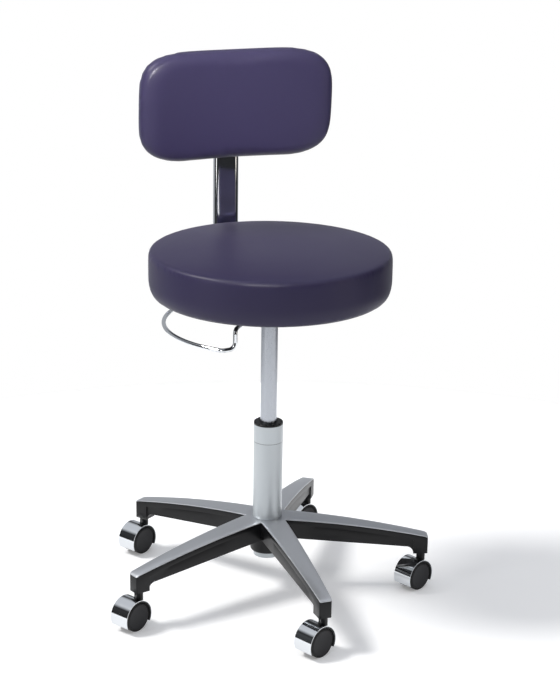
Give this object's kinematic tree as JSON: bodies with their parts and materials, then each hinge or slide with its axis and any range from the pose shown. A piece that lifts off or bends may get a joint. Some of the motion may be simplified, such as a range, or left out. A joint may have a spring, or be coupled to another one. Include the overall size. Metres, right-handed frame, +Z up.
{
  "type": "dentist stool",
  "caption": "Height-adjustable operator stool: star base on hooded twin-wheel casters, gas spring column, round padded seat with a wire release lever, and a padded backrest on a chromed post.",
  "frame": {"origin": "on the column axis, at the floor under the wheels", "axes": "+Z up along the column; the sitter faces -Y and the backrest is at +Y; the release lever is at -X, under the sitter's right hand"},
  "size_m": [0.5819, 0.5745, 0.9121],
  "materials": {
    "black_casting": "black powder coat, satin",
    "polished_aluminium": "brushed and polished",
    "column_silver": "silver lacquer, satin",
    "band_silver": "plain silver foil, satin",
    "black_plastic": "moulded black, satin",
    "bearing_steel": "ground",
    "rod_chrome": "hard chrome",
    "bump_rubber": "matte",
    "cylinder_steel": "satin chrome",
    "zinc_steel": "zinc plated",
    "black_steel": "black powder coat",
    "plywood": "raw plywood",
    "vinyl": "vinyl coated fabric, satin",
    "chrome": "polished",
    "caster_black": "nylon, satin",
    "wheel_grey": "moulded dark grey, satin"
  },
  "bodies": {
    "base": {"base_casting": "black_casting", "base_top_cover": "polished_aluminium", "column_tube": "column_silver", "column_band": "band_silver", "guide_bush": "black_plastic", "thrust_bearing": "bearing_steel", "grip_rings": "bearing_steel"},
    "spindle": {"piston_rod": "rod_chrome", "piston": "black_plastic", "bump_stop": "bump_rubber", "retaining_clip": "zinc_steel"},
    "seat": {"gas_cylinder": "cylinder_steel", "seat_holder": "black_steel", "seat_mechanism": "black_steel", "seat_pan": "plywood", "seat_bolts": "zinc_steel", "seat_cushion": "vinyl", "back_post": "chrome", "post_cap": "black_plastic"},
    "lever": {"release_lever": "chrome", "lever_finger": "zinc_steel"},
    "button": {"release_button": "bearing_steel"},
    "backrest": {"back_sleeve": "black_steel", "back_board": "black_plastic", "back_cushion": "vinyl", "back_screws": "zinc_steel"},
    "knob": {"clamp_knob": "black_plastic"},
    "caster_1": {"caster_stem_1": "zinc_steel", "caster_body_1": "caster_black", "caster_hood_1": "chrome", "caster_axle_1": "zinc_steel"},
    "wheel_left_1": {"caster_wheel_left_1": "wheel_grey"},
    "wheel_right_1": {"caster_wheel_right_1": "wheel_grey"},
    "caster_2": {"caster_stem_2": "zinc_steel", "caster_body_2": "caster_black", "caster_hood_2": "chrome", "caster_axle_2": "zinc_steel"},
    "wheel_left_2": {"caster_wheel_left_2": "wheel_grey"},
    "wheel_right_2": {"caster_wheel_right_2": "wheel_grey"},
    "caster_3": {"caster_stem_3": "zinc_steel", "caster_body_3": "caster_black", "caster_hood_3": "chrome", "caster_axle_3": "zinc_steel"},
    "wheel_left_3": {"caster_wheel_left_3": "wheel_grey"},
    "wheel_right_3": {"caster_wheel_right_3": "wheel_grey"},
    "caster_4": {"caster_stem_4": "zinc_steel", "caster_body_4": "caster_black", "caster_hood_4": "chrome", "caster_axle_4": "zinc_steel"},
    "wheel_left_4": {"caster_wheel_left_4": "wheel_grey"},
    "wheel_right_4": {"caster_wheel_right_4": "wheel_grey"},
    "caster_5": {"caster_stem_5": "zinc_steel", "caster_body_5": "caster_black", "caster_hood_5": "chrome", "caster_axle_5": "zinc_steel"},
    "wheel_left_5": {"caster_wheel_left_5": "wheel_grey"},
    "wheel_right_5": {"caster_wheel_right_5": "wheel_grey"}
  },
  "joints": [
    {"name": "seat_swivel", "type": "hinge", "parent": "base", "child": "spindle", "pos_m": [0, 0, 0.066], "axis": [0, 0, 1], "continuous": true},
    {"name": "seat_lift", "type": "slide", "parent": "spindle", "child": "seat", "axis": [0, 0, 1], "range_m": [-0.148, 0.017]},
    {"name": "lever_lift", "type": "hinge", "parent": "seat", "child": "lever", "pos_m": [-0.05, 0, 0.514], "axis": [0, 1, 0], "range_deg": [0, 6], "stiffness_Nm_per_rad": 6},
    {"name": "button_press", "type": "slide", "parent": "seat", "child": "button", "axis": [0, 0, -1], "range_m": [0, 0.006]},
    {"name": "back_height", "type": "slide", "parent": "seat", "child": "backrest", "axis": [0, 0, 1], "range_m": [-0.05, 0.038]},
    {"name": "clamp_turn", "type": "hinge", "parent": "backrest", "child": "knob", "pos_m": [0, 0.251, 0.812], "axis": [0, 1, 0], "range_deg": [0, 270]},
    {"name": "caster_swivel_1", "type": "hinge", "parent": "base", "child": "caster_1", "pos_m": [0, -0.27, 0.07], "axis": [0, 0, 1], "continuous": true},
    {"name": "wheel_roll_left_1", "type": "hinge", "parent": "caster_1", "child": "wheel_left_1", "pos_m": [-0.01635, -0.27752, 0.025], "axis": [-0.4179, 0.9085, 0], "continuous": true},
    {"name": "wheel_roll_right_1", "type": "hinge", "parent": "caster_1", "child": "wheel_right_1", "pos_m": [-0.01635, -0.27752, 0.025], "axis": [-0.4179, 0.9085, 0], "continuous": true},
    {"name": "caster_swivel_2", "type": "hinge", "parent": "base", "child": "caster_2", "pos_m": [0.25678, -0.08343, 0.07], "axis": [0, 0, 1], "continuous": true},
    {"name": "wheel_roll_left_2", "type": "hinge", "parent": "caster_2", "child": "wheel_left_2", "pos_m": [0.24041, -0.0909, 0.025], "axis": [-0.4147, 0.91, 0], "continuous": true},
    {"name": "wheel_roll_right_2", "type": "hinge", "parent": "caster_2", "child": "wheel_right_2", "pos_m": [0.24041, -0.0909, 0.025], "axis": [-0.4147, 0.91, 0], "continuous": true},
    {"name": "caster_swivel_3", "type": "hinge", "parent": "base", "child": "caster_3", "pos_m": [0.1587, 0.21843, 0.07], "axis": [0, 0, 1], "continuous": true},
    {"name": "wheel_roll_left_3", "type": "hinge", "parent": "caster_3", "child": "wheel_left_3", "pos_m": [0.14266, 0.21026, 0.025], "axis": [-0.454, 0.891, 0], "continuous": true},
    {"name": "wheel_roll_right_3", "type": "hinge", "parent": "caster_3", "child": "wheel_right_3", "pos_m": [0.14266, 0.21026, 0.025], "axis": [-0.454, 0.891, 0], "continuous": true},
    {"name": "caster_swivel_4", "type": "hinge", "parent": "base", "child": "caster_4", "pos_m": [-0.1587, 0.21843, 0.07], "axis": [0, 0, 1], "continuous": true},
    {"name": "wheel_roll_left_4", "type": "hinge", "parent": "caster_4", "child": "wheel_left_4", "pos_m": [-0.17429, 0.20944, 0.025], "axis": [-0.5, 0.866, 0], "continuous": true},
    {"name": "wheel_roll_right_4", "type": "hinge", "parent": "caster_4", "child": "wheel_right_4", "pos_m": [-0.17429, 0.20944, 0.025], "axis": [-0.5, 0.866, 0], "continuous": true},
    {"name": "caster_swivel_5", "type": "hinge", "parent": "base", "child": "caster_5", "pos_m": [-0.25678, -0.08343, 0.07], "axis": [0, 0, 1], "continuous": true},
    {"name": "wheel_roll_left_5", "type": "hinge", "parent": "caster_5", "child": "wheel_left_5", "pos_m": [-0.27245, -0.0923, 0.025], "axis": [-0.4924, 0.8704, 0], "continuous": true},
    {"name": "wheel_roll_right_5", "type": "hinge", "parent": "caster_5", "child": "wheel_right_5", "pos_m": [-0.27245, -0.0923, 0.025], "axis": [-0.4924, 0.8704, 0], "continuous": true}
  ],
  "couplings": [
    {"joint": "button_press", "follows": "lever_lift", "m_per_rad": 0.0545}
  ]
}
